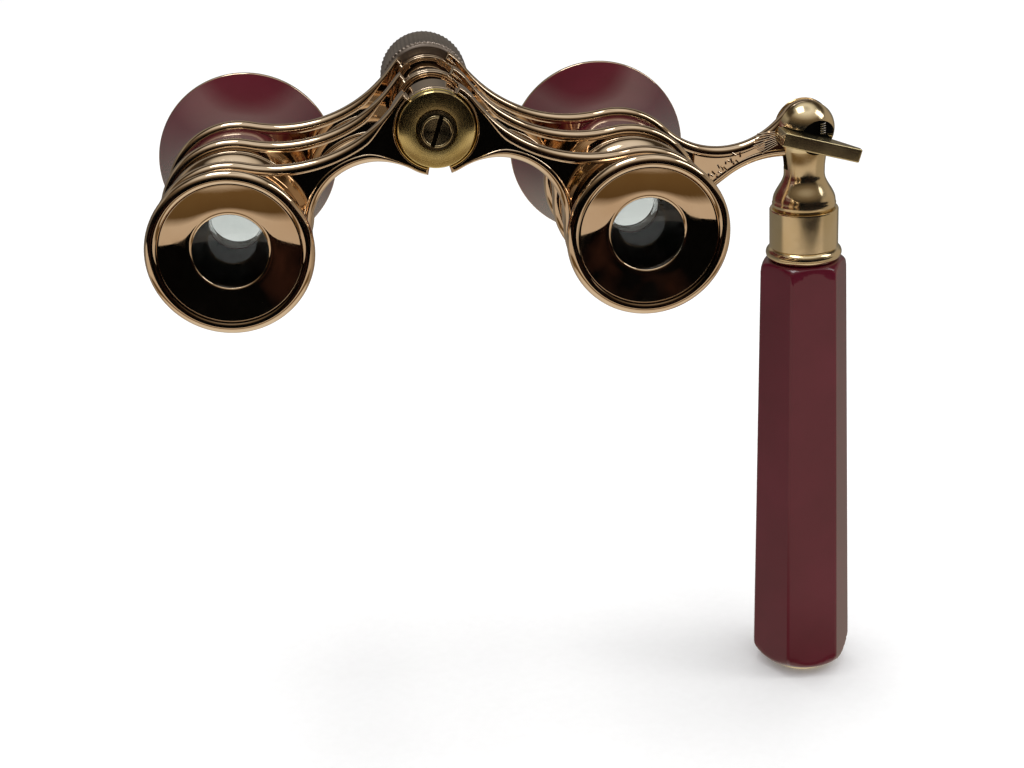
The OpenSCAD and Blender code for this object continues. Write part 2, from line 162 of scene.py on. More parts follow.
class Shape:
    """Vertices in millimetres and faces, gathered before they become one piece."""

    def __init__(self):
        self.verts = []
        self.faces = []

    def add(self, verts, faces):
        base = len(self.verts)
        self.verts.extend(verts)
        self.faces.extend([tuple(base + i for i in face) for face in faces])
        return self

    def moved(self, matrix):
        self.verts = [tuple(matrix @ Vector(v)) for v in self.verts]
        return self

    def mirrored(self):
        self.verts = [(-v[0], v[1], v[2]) for v in self.verts]
        return self


def loops_to_faces(rows, width, closed_rows=True):
    faces = []
    last = rows if closed_rows else rows - 1
    for i in range(last):
        for j in range(width):
            a = i * width + j
            b = i * width + (j + 1) % width
            c = ((i + 1) % rows) * width + (j + 1) % width
            d = ((i + 1) % rows) * width + j
            faces.append((a, b, c, d))
    return faces


def turned(profile, x=0.0, z=0.0, segments=FINE, ripple=None):
    """A closed (radius, y) outline turned about a line parallel to Y."""
    verts = []
    for k, (r, y) in enumerate(profile):
        for j in range(segments):
            a = TURN * j / segments
            radius = r + (ripple(k, j) if ripple else 0)
            verts.append((x + radius * math.cos(a), y, z + radius * math.sin(a)))
    return Shape().add(verts, loops_to_faces(len(profile), segments))


def turned_z(profile, segments=FINE):
    """A closed (radius, z) outline turned about Z."""
    verts = []
    for r, z in profile:
        for j in range(segments):
            a = TURN * j / segments
            verts.append((r * math.cos(a), r * math.sin(a), z))
    return Shape().add(verts, loops_to_faces(len(profile), segments))


def box_shape(low, high):
    xs = (low[0], high[0])
    ys = (low[1], high[1])
    zs = (low[2], high[2])
    verts = [(x, y, z) for x in xs for y in ys for z in zs]
    faces = [(0, 1, 3, 2), (4, 6, 7, 5), (0, 4, 5, 1), (2, 3, 7, 6), (0, 2, 6, 4), (1, 5, 7, 3)]
    return Shape().add(verts, faces)


def prism(outline, y0, y1, bevel=0.15):
    """A flat (x, z) outline made solid from y0 to y1, with its edges broken."""
    levels = [(bevel, y0), (0, y0 + bevel), (0, y1 - bevel), (bevel, y1)]
    rings = [inset_loop(outline, [inset] * len(outline)) for inset, _ in levels]
    count = len(outline)
    verts = []
    for ring, (_, y) in zip(rings, levels):
        verts.extend([(p[0], y, p[1]) for p in ring])
    faces = loops_to_faces(len(levels), count, closed_rows=False)
    faces.append(tuple(range(count)))
    faces.append(tuple(range((len(levels) - 1) * count, len(levels) * count)))
    return Shape().add(verts, faces)


def inset_loop(outline, insets):
    """The outline, anticlockwise, moved inwards by each point's own inset."""
    out = []
    count = len(outline)
    for i in range(count):
        p = Vector(outline[i])
        before = (p - Vector(outline[i - 1])).normalized()
        after = (Vector(outline[(i + 1) % count]) - p).normalized()
        inward = Vector((-before.y - after.y, before.x + after.x))
        if inward.length < 1e-6:
            inward = Vector((-after.y, after.x))
        inward.normalize()
        straight = max(0.6, inward.dot(Vector((-after.y, after.x))))
        out.append(tuple(p + inward * insets[i] / straight))
    return out


def without_repeats(outline):
    out = []
    for p in outline:
        if not out or math.dist(p, out[-1]) > 1e-3:
            out.append(p)
    if math.dist(out[0], out[-1]) <= 1e-3:
        out.pop()
    return out


def plate(outline, edge, thin, bore, bore_centre):
    """A cast plate. edge lists (inset, y) from the front face round to the back one; thin
    gives each outline point's share of the inset."""
    outline = without_repeats(outline)
    shares = [thin(p) for p in outline]
    count = len(outline)
    verts = []
    for inset, y in edge:
        ring = inset_loop(outline, [inset * s for s in shares])
        verts.extend([(p[0], y, p[1]) for p in ring])
    shape = Shape().add(verts, loops_to_faces(len(edge), count, closed_rows=False))
    front_y = edge[0][1]
    back_y = edge[-1][1]
    hole = [polar(bore_centre, bore, 360 * i / 96) for i in range(96)]
    for y, start in ((front_y, 0), (back_y, (len(edge) - 1) * count)):
        bm = bmesh.new()
        loop = [bm.verts.new(shape.verts[start + i]) for i in range(count)]
        inner = [bm.verts.new((p[0], y, p[1])) for p in hole]
        edges = [bm.edges.new((loop[i - 1], loop[i])) for i in range(count)]
        edges += [bm.edges.new((inner[i - 1], inner[i])) for i in range(len(inner))]
        bmesh.ops.triangle_fill(bm, edges=edges, use_beauty=True, normal=(0, 1, 0))
        bm.verts.index_update()
        faces = [tuple(v.index for v in f.verts) for f in bm.faces]
        shape.add([tuple(v.co) for v in bm.verts], faces)
        bm.free()
    wall = [(p[0], front_y, p[1]) for p in hole] + [(p[0], back_y, p[1]) for p in hole]
    return shape.add(wall, loops_to_faces(2, len(hole), closed_rows=False))


def to_mesh(name, shape, sharp=38.0):
    mesh = bpy.data.meshes.new(name)
    mesh.from_pydata([tuple(c * MM for c in v) for v in shape.verts], [], shape.faces)
    bm = bmesh.new()
    bm.from_mesh(mesh)
    bmesh.ops.remove_doubles(bm, verts=bm.verts, dist=2e-7)
    bmesh.ops.dissolve_degenerate(bm, edges=bm.edges, dist=1e-7)
    bmesh.ops.recalc_face_normals(bm, faces=bm.faces)
    mark_sharp(bm, sharp)
    bm.to_mesh(mesh)
    bm.free()
    return mesh


def mark_sharp(bm, sharp):
    for face in bm.faces:
        face.smooth = True
    for edge in bm.edges:
        if len(edge.link_faces) == 2:
            edge.smooth = edge.calc_face_angle(0) < math.radians(sharp)


def cut(mesh, cutters, bevel=0.0, sharp=38.0):
    """The mesh with each cutter shape taken away and the new edges broken."""
    obj = bpy.data.objects.new("work", mesh)
    scene.collection.objects.link(obj)
    extra = []
    for cutter in cutters:
        tool = bpy.data.objects.new("tool", to_mesh("tool", cutter))
        scene.collection.objects.link(tool)
        extra.append(tool)
        boolean = obj.modifiers.new("cut", "BOOLEAN")
        boolean.operation = "DIFFERENCE"
        boolean.solver = "EXACT"
        boolean.object = tool
    if bevel:
        soften = obj.modifiers.new("edges", "BEVEL")
        soften.width = bevel * MM
        soften.segments = 3
        soften.limit_method = "ANGLE"
        soften.angle_limit = math.radians(45)
        soften.use_clamp_overlap = True
    graph = bpy.context.evaluated_depsgraph_get()
    done = bpy.data.meshes.new_from_object(obj.evaluated_get(graph))
    for item in extra + [obj]:
        bpy.data.objects.remove(item)
    bm = bmesh.new()
    bm.from_mesh(done)
    bmesh.ops.remove_doubles(bm, verts=bm.verts, dist=2e-7)
    mark_sharp(bm, sharp)
    bm.to_mesh(done)
    bm.free()
    return done


def piece(name, mesh, material, body, nodes):
    """Puts a mesh in the scene as a piece that rides on a body and stands for CAD nodes."""
    if isinstance(mesh, Shape):
        mesh = to_mesh(name, mesh)
    mesh.name = name
    mesh.materials.clear()
    mesh.materials.append(material)
    obj = bpy.data.objects.new(name, mesh)
    scene.collection.objects.link(obj)
    weighted = obj.modifiers.new("normals", "WEIGHTED_NORMAL")
    weighted.keep_sharp = True
    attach(obj, body)
    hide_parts(*nodes)
    return obj


# ---------------------------------------------------------------- materials

class Nodes:
    """A short way to write a material's node tree."""

    def __init__(self, name):
        self.material = bpy.data.materials.new(name)
        self.material.use_nodes = True
        self.tree = self.material.node_tree
        self.shader = self.tree.nodes["Principled BSDF"]
        coord = self.tree.nodes.new("ShaderNodeTexCoord")
        self.place = coord.outputs["Object"]

    def node(self, kind, **values):
        made = self.tree.nodes.new("ShaderNode" + kind)
        for key, value in values.items():
            if hasattr(made, key):
                setattr(made, key, value)
            else:
                made.inputs[key.replace("_", " ")].default_value = value
        return made

    def link(self, a, b):
        self.tree.links.new(a, b)

    def noise(self, scale, detail=3.0, rough=0.5, stretch=None):
        made = self.node("TexNoise", Scale=scale, Detail=detail, Roughness=rough)
        place = self.place
        if stretch:
            mapping = self.node("Mapping")
            mapping.inputs["Scale"].default_value = stretch
            self.link(place, mapping.inputs["Vector"])
            place = mapping.outputs["Vector"]
        self.link(place, made.inputs["Vector"])
        return made.outputs["Fac"]

    def remap(self, source, low, high, to_low, to_high):
        made = self.node("MapRange")
        for key, value in (("From Min", low), ("From Max", high), ("To Min", to_low),
                           ("To Max", to_high)):
            made.inputs[key].default_value = value
        self.link(source, made.inputs["Value"])
        return made.outputs["Result"]

    def blend(self, factor, a, b):
        made = self.node("Mix", data_type="RGBA")
        self.link(factor, made.inputs[0])
        for socket, value in ((made.inputs[6], a), (made.inputs[7], b)):
            if isinstance(value, tuple):
                socket.default_value = (*value, 1)
            else:
                self.link(value, socket)
        return made.outputs[2]

    def bump(self, height, distance, strength=1.0, under=None):
        made = self.node("Bump", Strength=strength, Distance=distance)
        self.link(height, made.inputs["Height"])
        if under:
            self.link(under, made.inputs["Normal"])
        return made.outputs["Normal"]

    def set(self, **values):
        for key, value in values.items():
            self.shader.inputs[key.replace("_", " ")].default_value = value
        return self


def plated_metal(name, bright, deep, gloss, dull, tint_scale=120.0):
    """Polished plating: slight colour drift, handling smudges, hairlines and fine pits."""
    n = Nodes(name).set(Metallic=1.0)
    drift = n.remap(n.noise(tint_scale, 4.0), 0.35, 0.7, 0.0, 1.0)
    n.link(n.blend(drift, bright, deep), n.shader.inputs["Base Color"])
    smudge = n.remap(n.noise(260.0, 5.0, 0.6), 0.45, 0.75, gloss, dull)
    n.link(smudge, n.shader.inputs["Roughness"])
    hairs = n.noise(900.0, 2.0, 0.5, (1.0, 14.0, 1.0))
    waves = n.bump(n.noise(140.0, 1.0), 0.00006, 0.35)
    n.link(n.bump(hairs, 0.0000025, 0.35, waves), n.shader.inputs["Normal"])
    return n.material


def enamel(name, colour, deep):
    """Gloss enamel over metal: a deep colour under a clear coat with a little orange peel."""
    n = Nodes(name).set(Metallic=0.0, Roughness=0.28, Coat_Weight=1.0, Coat_Roughness=0.035)
    n.set(Specular_IOR_Level=0.15)
    drift = n.remap(n.noise(70.0, 3.0), 0.35, 0.7, 0.0, 1.0)
    n.link(n.blend(drift, colour, deep), n.shader.inputs["Base Color"])
    peel = n.bump(n.noise(420.0, 2.0), 0.000015, 0.3)
    dust = n.bump(n.noise(2400.0, 2.0), 0.000002, 0.25, peel)
    n.link(peel, n.shader.inputs["Coat Normal"])
    n.link(dust, n.shader.inputs["Normal"])
    return n.material


def turned_metal(name, bright, deep, centre, rings_per_mm, gloss, painted_shade_depths=None, painted_top_shade=None):
    """Lathe-turned metal: fine rings about a line parallel to Y. The optional depth pair gives two
    depths along Y, in millimetres, between which painted shade darkens the colour, as in a slot;
    the optional top colour is a patchy painted shade over the upper half, and leans the shading
    downwards too."""
    n = Nodes(name).set(Metallic=1.0, Anisotropic=0.85)
    shift = n.node("VectorMath", operation="SUBTRACT")
    shift.inputs[1].default_value = (centre[0] * MM, 0, centre[1] * MM)
    n.link(n.place, shift.inputs[0])
    flat = n.node("VectorMath", operation="MULTIPLY")
    flat.inputs[1].default_value = (1, 0, 1)
    n.link(shift.outputs[0], flat.inputs[0])
    length = n.node("VectorMath", operation="LENGTH")
    n.link(flat.outputs[0], length.inputs[0])
    rings = n.node("TexNoise", noise_dimensions="1D", Scale=1000.0 * rings_per_mm, Detail=2.0)
    n.link(length.outputs["Value"], rings.inputs["W"])
    drift = n.remap(n.noise(300.0, 3.0), 0.3, 0.7, 0.0, 1.0)
    colour = n.blend(drift, bright, deep)
    # Painted shade: the colour darkens to near black between the two depths, down into the slot
    if painted_shade_depths:
        split = n.node("SeparateXYZ")
        n.link(n.place, split.inputs[0])
        depth = n.remap(split.outputs["Y"], painted_shade_depths[0] * MM, painted_shade_depths[1] * MM, 0.0, 1.0)
        colour = n.blend(depth, colour, tuple(0.06 * v for v in deep))
    # Painted shade: a patchy darker colour laid over the upper half of the turned face
    if painted_top_shade:
        split = n.node("SeparateXYZ")
        n.link(flat.outputs[0], split.inputs[0])
        height = n.remap(split.outputs["Z"], -0.3 * MM, 0.9 * MM, 0.0, 1.0)
        patchy = n.remap(n.noise(420.0, 4.0, 0.6), 0.3, 0.6, 0.55, 1.0)
        cover = n.node("Math", operation="MULTIPLY")
        n.link(height, cover.inputs[0])
        n.link(patchy, cover.inputs[1])
        colour = n.blend(cover.outputs[0], colour, painted_top_shade)
    n.link(colour, n.shader.inputs["Base Color"])
    n.link(n.remap(rings.outputs["Fac"], 0.3, 0.7, gloss, gloss + 0.12),
           n.shader.inputs["Roughness"])
    under = None
    if painted_top_shade:
        # The shading leans a few degrees downwards, which the face itself does not
        lean = n.node("VectorMath", operation="ADD")
        n.link(n.node("NewGeometry").outputs["Normal"], lean.inputs[0])
        lean.inputs[1].default_value = (0, 0, -0.082)
        under = n.node("VectorMath", operation="NORMALIZE")
        n.link(lean.outputs[0], under.inputs[0])
        under = under.outputs[0]
    n.link(n.bump(rings.outputs["Fac"], 0.000003, 0.5, under), n.shader.inputs["Normal"])
    # Light spreads across the turned grooves, so the tangent is the radius
    unit = n.node("VectorMath", operation="NORMALIZE")
    n.link(flat.outputs[0], unit.inputs[0])
    n.link(unit.outputs[0], n.shader.inputs["Tangent"])
    return n.material


def matt_black(name):
    """Blackened inside of a tube, with the fine thread that kills stray light."""
    n = Nodes(name).set(Metallic=0.0, Roughness=0.5, Specular_IOR_Level=0.06)
    wave = n.node("TexWave", wave_type="BANDS", bands_direction="Y", Scale=900.0)
    n.link(n.place, wave.inputs["Vector"])
    patch = n.remap(n.noise(200.0, 3.0), 0.3, 0.7, 0.0, 1.0)
    n.link(n.blend(patch, (0.0015, 0.0017, 0.0018), (0.0035, 0.0035, 0.0038)),
           n.shader.inputs["Base Color"])
    n.link(n.bump(wave.outputs["Fac"], 0.00001, 0.3), n.shader.inputs["Normal"])
    return n.material


def glass(name):
    """Coated lens glass with faint dust."""
    n = Nodes(name).set(Transmission_Weight=1.0, IOR=1.5)
    dust = n.remap(n.noise(1800.0, 4.0), 0.6, 0.8, 0.0, 0.05)
    n.link(dust, n.shader.inputs["Roughness"])
    tint = n.remap(n.noise(60.0, 2.0), 0.3, 0.7, 0.0, 1.0)
    n.link(n.blend(tint, (0.80, 0.82, 0.80), (0.76, 0.79, 0.77)), n.shader.inputs["Base Color"])
    return n.material


ROSE = plated_metal("rose_gold", (0.84, 0.68, 0.50), (0.77, 0.59, 0.41), 0.025, 0.085)
PALE = plated_metal("pale_gold", (0.88, 0.75, 0.50), (0.80, 0.65, 0.39), 0.13, 0.24)
LEVER = plated_metal("lever_gold", (0.72, 0.62, 0.38), (0.60, 0.50, 0.28), 0.2, 0.28)
STEEL = plated_metal("bright_steel", (0.62, 0.60, 0.57), (0.5, 0.48, 0.45), 0.12, 0.3)
WHEEL = plated_metal("wheel_metal", (0.36, 0.31, 0.27), (0.25, 0.21, 0.18), 0.28, 0.45)
# The disc's upper half carries painted shade in its colour
DISC = turned_metal("brass_painted_top_shade", (1.0, 0.86, 0.42), (0.92, 0.76, 0.32), HINGE, 14.0, 0.1,
                    painted_top_shade=(0.62, 0.48, 0.22))
BRASS_RIM = turned_metal("turned_brass_rim", (0.98, 0.84, 0.26), (0.9, 0.74, 0.2), HINGE, 6.0, 0.2)
WASHER = turned_metal("washer_metal", (0.46, 0.36, 0.20), (0.26, 0.19, 0.10), HINGE, 5.0, 0.2)
# The screw's slot floor carries painted shade in its colour
SCREW = turned_metal("screw_metal", (0.72, 0.60, 0.36), (0.52, 0.42, 0.24), HINGE, 9.0, 0.14,
                     painted_shade_depths=(3.86, 4.0))
ENAMEL = enamel("burgundy_enamel", (0.084, 0.0042, 0.0135), (0.068, 0.003, 0.010))
BLACK = matt_black("black_interior")
GLASS = glass("coated_glass")


# ---------------------------------------------------------------- barrels and eyepieces

def bell_radius(t):
    return TUBE_R + 0.8 + (16.0 - TUBE_R - 0.9) * t ** 1.5


SIDES = (("left", -1, "left_half", "left_ocular"), ("right", 1, "right_half", "right_ocular"))
for side, sign, half, ocular in SIDES:
    cx = sign * BARREL_X

    tube = rounded([(TUBE_BORE, MIDDLE_Y), (SEAT_R, MIDDLE_Y), (SEAT_R, 22.6),
                    (TUBE_R, 22.6, 0.25), (TUBE_R, FRONT_Y, 0.25), (SEAT_R, FRONT_Y),
                    (SEAT_R, BELL_Y), (TUBE_BORE, BELL_Y)], 4)
    piece("tube_" + side, turned(tube, cx), ENAMEL, half, [side + "_barrel_tube"])

    flare = [(bell_radius(i / 28), BELL_Y + 0.25 + (BEZEL_Y - BELL_Y - 0.25) * i / 28)
             for i in range(29)]
    foot = [(bell_radius(0) - 0.35, BELL_Y), (bell_radius(0) - 0.1, BELL_Y + 0.07)]
    bell = [(9.0, 30.8), (TUBE_BORE, 30.8), (TUBE_BORE, BELL_Y)] + foot + flare
    bell += [(13.75, BEZEL_Y), (13.75, 51.0), (12.6, 51.0), (12.6, 49.5), (9.0, 37.0)]
    piece("bell_" + side, turned(bell, cx), ENAMEL, half, [side + "_objective_bell"])

    bezel = rounded([(13.4, BEZEL_Y), (16.0, BEZEL_Y, 0.25), (16.0, END_Y, 0.6),
                     (13.7, END_Y, 0.45), (13.4, END_Y - 0.5, 0.1)], 8)
    piece("bezel_" + side, turned(bezel, cx), ROSE, half, [side + "_objective_bezel"])

    lens_r = 13.7
    lens_y = 51.0
    lens_edge = 1.2
    lens_curve = 58
    dome = []
    for i in range(24, -1, -1):
        r = lens_r * i / 24
        rise = math.sqrt(lens_curve ** 2 - r ** 2) - math.sqrt(lens_curve ** 2 - lens_r ** 2)
        dome.append((r, lens_y + lens_edge + rise))
    lens = [(0.0, lens_y), (lens_r, lens_y)] + dome
    piece("objective_" + side, turned(lens, cx), GLASS, half, [side + "_objective_lens"])

    stop = rounded([(12.6, 52.5, 0.2), (13.7, 52.5), (13.7, BEZEL_Y), (13.2, BEZEL_Y),
                    (12.6, 53.4, 0.2)], 4)
    piece("retainer_" + side, turned(stop, cx), BLACK, half, [side + "_lens_retainer"])

    crest = TUBE_R + 0.4
    round_part = [(crest - 1.2 * math.cos(math.radians(180 * i / 36)) ** 2, 12.0 + 6.6 * i / 36)
                  for i in range(1, 36)]
    collar = [(9.53, 12.0), (crest - 1.35, 12.0), (crest - 1.2, 12.12)] + round_part
    collar += rounded([(10.55, 18.4), (11.0, 18.5, 0.2), (11.0, 20.0), (9.9, 20.0),
                       (9.9, 23.0), (9.53, 23.0)], 4)[1:]
    piece("collar_" + side, turned(collar, cx), ROSE, half, [side + "_collar"])

    inner = [(8.6, 1.6), (9.5, 1.6), (9.5, 26.0), (7.9, 26.0), (7.9, 5.4), (8.6, 5.4)]
    piece("eye_tube_" + side, turned(inner, cx), BLACK, ocular, [side + "_eye_tube"])

    # The eyecup: a bevelled hole, a concave dish, a fine step and a rounded lip
    dish = [(6.15 + 4.7 * i / 20, 0.42 - 0.84 * (i / 20) ** 1.35) for i in range(21)]
    lip = arc((11.7, 0.0), 1.1, -132, 62, 1, 6)
    cup = [(5.8, 0.95), (5.8, 0.62), (5.9, 0.5)] + dish
    cup += [(10.9, -0.4), (10.94, -0.22), (11.02, -0.2), (11.06, -0.5)] + lip[1:]
    cup += rounded([(12.15, 1.1), (11.3, 2.0, 0.5), (11.0, 5.4, 0.2), (9.5, 5.4)], 4)[1:]
    cup += [(9.5, 1.6), (6.2, 1.6)]
    piece("eyecup_" + side, turned(cup, cx, segments=192), ROSE, ocular, [side + "_eyecup"])

    # The eye lens is hollow on both faces, between its rims at 1.6 and 5.4
    curve = 28.0
    eye_lens_r = 8.55
    front = []
    rear = []
    for i in range(21):
        r = eye_lens_r * i / 20
        depth = curve - math.sqrt(curve ** 2 - r ** 2)
        front.append((r, max(1.6, 2.9 - depth)))
        rear.insert(0, (r, min(5.4, 4.1 + depth)))
    piece("eye_lens_" + side, turned(front + rear, cx, segments=96), GLASS, ocular,
          [side + "_eye_lens"])


# ---------------------------------------------------------------- bridge

def hub_outline(wall, with_bracket):
    """Outline of a right-hand arm, anticlockwise seen from the eye end."""
    ring = (BARREL_X, 0.0)
    top = touching(HINGE, BOSS_R, ring, RING_R, 23.0, 1)
    low = touching(HINGE, BOSS_R, ring, RING_R, 10.5, -1)
    points = []
    start = bearing(ring, low)
    end = bearing(ring, top)
    if with_bracket:
        knuckle = (KNUCKLE[0], KNUCKLE[2])
        crown = touching(ring, RING_R, knuckle, DISC_R, CROWN_R, 1)
        points += arc(ring, RING_R, start, 36.9 - 90)
        points += arc(SAG, SAG_R, 126.9, 90, -1, 2)
        points += arc(knuckle, DISC_R, -90, bearing(knuckle, crown))
        points += arc(crown, CROWN_R, bearing(crown, knuckle), bearing(crown, ring), -1, 2)
        points += arc(ring, RING_R, bearing(ring, crown), end)
    else:
        points += arc(ring, RING_R, start, end)
    points += arc(top, 23.0, bearing(top, ring), bearing(top, HINGE), -1, 1.5)
    points += arc(HINGE, BOSS_R, bearing(HINGE, top), wall[1])
    points += arc(HINGE, RECESS_R, wall[1], wall[0], -1)
    points += arc(HINGE, BOSS_R, wall[0], bearing(HINGE, low))
    points += arc(low, 10.5, bearing(low, HINGE), bearing(low, ring), -1, 2)
    return points


def edge_profile(y0, y1):
    """Rounded edges, a fine raised rim and a flat polished face, front round to back."""
    front = [(1.75, 0.14), (1.5, 0.14), (1.4, 0.03), (1.3, 0.0), (0.95, 0.0), (0.62, 0.07),
             (0.34, 0.24), (0.14, 0.5), (0.03, 0.85), (0.0, 1.15)]
    return [(u, y0 + v) for u, v in front] + [(u, y1 - v) for u, v in reversed(front)]


def near_hub(point):
    """The share of the edge rounding at a point: less on the thin walls of the hinge boss."""
    distance = math.dist(point, HINGE)
    t = min(1.0, max(0.0, (distance - BOSS_R) / 4.5))
    return 0.33 + 0.67 * t * t * (3 - 2 * t)


def sector(r0, r1, angles, y0, y1):
    outline = arc(HINGE, r1, angles[0], angles[1]) + arc(HINGE, r0, angles[1], angles[0], -1)
    return prism(without_repeats(outline), y0, y1, 0.12)


def arm(side, sign, level, body, eye_span, eye_bore, bore, boss_end, bracket=False):
    y0 = {"ocular": OCULAR_Y, "middle": MIDDLE_Y, "front": FRONT_Y}[level]
    y1 = y0 + PLATE_T
    wall = RIGHT_WALL if sign > 0 else LEFT_WALL
    shape = plate(hub_outline(wall, bracket), edge_profile(y0, y1), near_hub, bore,
                  (BARREL_X, 0.0))
    if boss_end > y1:
        deep = sector(RECESS_R + 0.1, BOSS_R - 0.1, (wall[0] + 1, wall[1] - 1), y1 - 0.5, boss_end)
        shape.add(deep.verts, deep.faces)
    eye = turned(rounded([(eye_bore, eye_span[0]), (EYE_R, eye_span[0], 0.15),
                          (EYE_R, eye_span[1], 0.15), (eye_bore, eye_span[1])], 3),
                 HINGE[0], HINGE[1], 96)
    shape.add(eye.verts, eye.faces)
    tab = sector(eye_bore + 0.3, (RECESS_R + BOSS_R) / 2, (wall[0] + 3, wall[1] - 3),
                 eye_span[0] + 0.02, eye_span[1] - 0.02)
    shape.add(tab.verts, tab.faces)
    if bracket:
        add_hatching(shape, y0)
    if sign < 0:
        shape.mirrored()
    piece(level + "_bridge_" + side, shape, ROSE, body, [side + "_" + level + "_arm"])


def stroke(shape, a, b, thickness, y0, y1):
    """A thin raised bar from a to b on a face towards the viewer."""
    a = Vector(a)
    b = Vector(b)
    along = (b - a).normalized()
    across = Vector((-along.y, along.x)) * thickness / 2
    outline = [tuple(p) for p in (a + across, a - across, b - across, b + across)]
    bar = prism(outline, y0, y1, 0.05)
    shape.add(bar.verts, bar.faces)


def bracket_low(x):
    """Height of the bracket's lower edge: straight from the ring, then hollow."""
    ring_end = (39.44, -9.92)
    straight_end = 51.9
    slope = 0.762
    if x < straight_end:
        return ring_end[1] + slope * (x - ring_end[0])
    return SAG[1] + math.sqrt(SAG_R ** 2 - (x - SAG[0]) ** 2)


def add_hatching(shape, y0):
    """The bracket's engraved panel, its face turned slightly down, and the fan by the knuckle."""
    knuckle = (KNUCKLE[0], KNUCKLE[2])
    crown = touching((BARREL_X, 0.0), RING_R, knuckle, DISC_R, CROWN_R, 1)
    columns = 24
    panel_x = (45.6, 58.0)
    border = 1.7
    front = y0 + 0.13
    back = y0 + 0.6
    verts = []
    for i in range(columns):
        x = panel_x[0] + (panel_x[1] - panel_x[0]) * i / (columns - 1)
        low = bracket_low(x) + border
        edge = crown[1] - math.sqrt(CROWN_R ** 2 - (x - crown[0]) ** 2)
        high = max(low + 0.4, edge - border)
        lean = 0.09 * (high - low)
        verts.extend([(x, front, low), (x, front - lean, high), (x, back, high), (x, back, low)])
    faces = loops_to_faces(columns, 4, closed_rows=False)
    faces += [(0, 1, 2, 3), tuple(len(verts) - 4 + k for k in range(4))]
    shape.add(verts, faces)
    for i in range(9):
        turn = 183 + 3.0 * i
        near = polar(knuckle, 5.5, turn)
        far = polar(knuckle, 9.6 - 0.25 * abs(i - 4), turn + 1)
        stroke(shape, near, far, 0.2, y0 - 0.1, y0 + 0.36)
    for i in range(22):
        x = 46.2 + 0.36 * i
        z = bracket_low(x) + 2.3 + 0.8 * math.sin(2.4 * i)
        lean = math.radians(125 + 30 * math.sin(1.7 * i))
        size = 0.75 + 0.3 * math.sin(3.1 * i)
        tip = (x + size * math.cos(lean), z + size * math.sin(lean))
        stroke(shape, (x, z), tip, 0.3, y0 - 0.15, y0 + 0.34)


def eye_span(sign, y0):
    middle = y0 + PLATE_T / 2
    return (y0 + 0.05, middle - 0.05) if sign < 0 else (middle + 0.05, y0 + PLATE_T - 0.05)


for side, sign, half, ocular in SIDES:
    turn_bore = HINGE_TUBE_R if sign < 0 else HINGE_TUBE_R + 0.03
    arm(side, sign, "front", half, eye_span(sign, FRONT_Y), turn_bore, SEAT_R, BELL_Y, sign > 0)
    arm(side, sign, "middle", half, eye_span(sign, MIDDLE_Y), turn_bore, SEAT_R, 22.6)
    span = (7.2, 8.2) if sign < 0 else (8.3, 9.3)
    arm(side, sign, "ocular", ocular, span, SHAFT_R if sign < 0 else SHAFT_R + 0.03,
        EYE_TUBE_R, 9.3)


# ---------------------------------------------------------------- hinge and focusing

hx, hz = HINGE
tube = rounded([(3.53, 13.9), (5.0, 13.9, 0.2), (5.0, 36.6), (4.5, 36.6), (4.5, 37.2), (5.0, 37.2),
                (5.0, 38.6, 0.2), (3.53, 38.6)], 3)
piece("hinge_barrel", turned(tube, hx, hz, 96), ROSE, "left_half", ["hinge_tube"])
sleeve = rounded([(3.5, 9.4), (5.5, 9.4, 0.3), (5.5, 16.4, 0.3), (5.04, 16.4), (5.04, 10.4),
                  (3.5, 10.4)], 5)
piece("sleeve", turned(sleeve, hx, hz), ROSE, "left_ocular", ["focus_sleeve"])
rod = rounded([(0.0, 11.1), (1.2, 11.1), (1.2, 5.9), (3.5, 5.9), (3.5, 42.9, 0.3), (0.0, 42.9)], 3)
piece("shaft", turned(rod, hx, hz, 96), STEEL, "left_ocular", ["focus_shaft"])

TEETH = 60
STEPS = 6
wheel_profile = rounded([(5.03, 35.6), (6.9, 35.6, 0.2), (7.25, 35.85, 0.1), (7.25, 36.4, 0.1),
                         (6.95, 36.55, 0.1), (6.95, 36.8, 0.1), (7.4, 37.0, 0.15)], 3)[:-4]
knurled_from = len(wheel_profile)
wheel_profile += [(7.28, 36.95), (7.42, 37.1), (7.42, 47.0), (7.28, 47.15)]
knurled_to = len(wheel_profile)
wheel_profile += [(6.95, 47.25), (6.95, 47.4), (7.2, 47.5), (7.2, 48.25), (7.05, 48.4),
                  (6.0, 48.4), (6.0, 46.8), (3.53, 46.8), (3.53, 38.8), (5.03, 38.8)]


def knurl(k, j):
    if not knurled_from <= k < knurled_to:
        return 0.0
    phase = (j % STEPS) / STEPS
    return 0.17 * (abs(2 * phase - 1) - 0.5)


piece("wheel", turned(wheel_profile, hx, hz, TEETH * STEPS, knurl), WHEEL, "wheel",
      ["focus_wheel"])
cap = rounded([(0.0, 46.8), (6.0, 46.8), (6.0, 48.4, 0.35), (0.0, 48.15)], 5)
piece("wheel_end", turned(cap, hx, hz), ROSE, "wheel", ["wheel_cap"])

disc = rounded([(1.2, 5.1), (3.2, 5.1), (3.2, 4.6, 0.06), (5.8, 4.77, 0.08), (5.97, 5.1, 0.08),
                (5.97, 5.9), (1.2, 5.9)], 4)
piece("disc", turned(disc, hx, hz), DISC, "left_ocular", ["hinge_cap"])
ring = rounded([(3.5, 5.9), (5.9, 5.9, 0.06), (5.9, 6.33, 0.06), (5.65, 6.36, 0.04),
                (5.65, 6.74, 0.04), (5.9, 6.77, 0.06), (5.9, 7.2, 0.06), (3.5, 7.2)], 3)
piece("hinge_ring", turned(ring, hx, hz), BRASS_RIM, "left_ocular", ["hinge_spacer"])


def washer_tooth(k, j):
    return -0.16 * (0.5 + 0.5 * math.cos(TURN * (j % 8) / 8)) if k in (2, 3) else 0.0


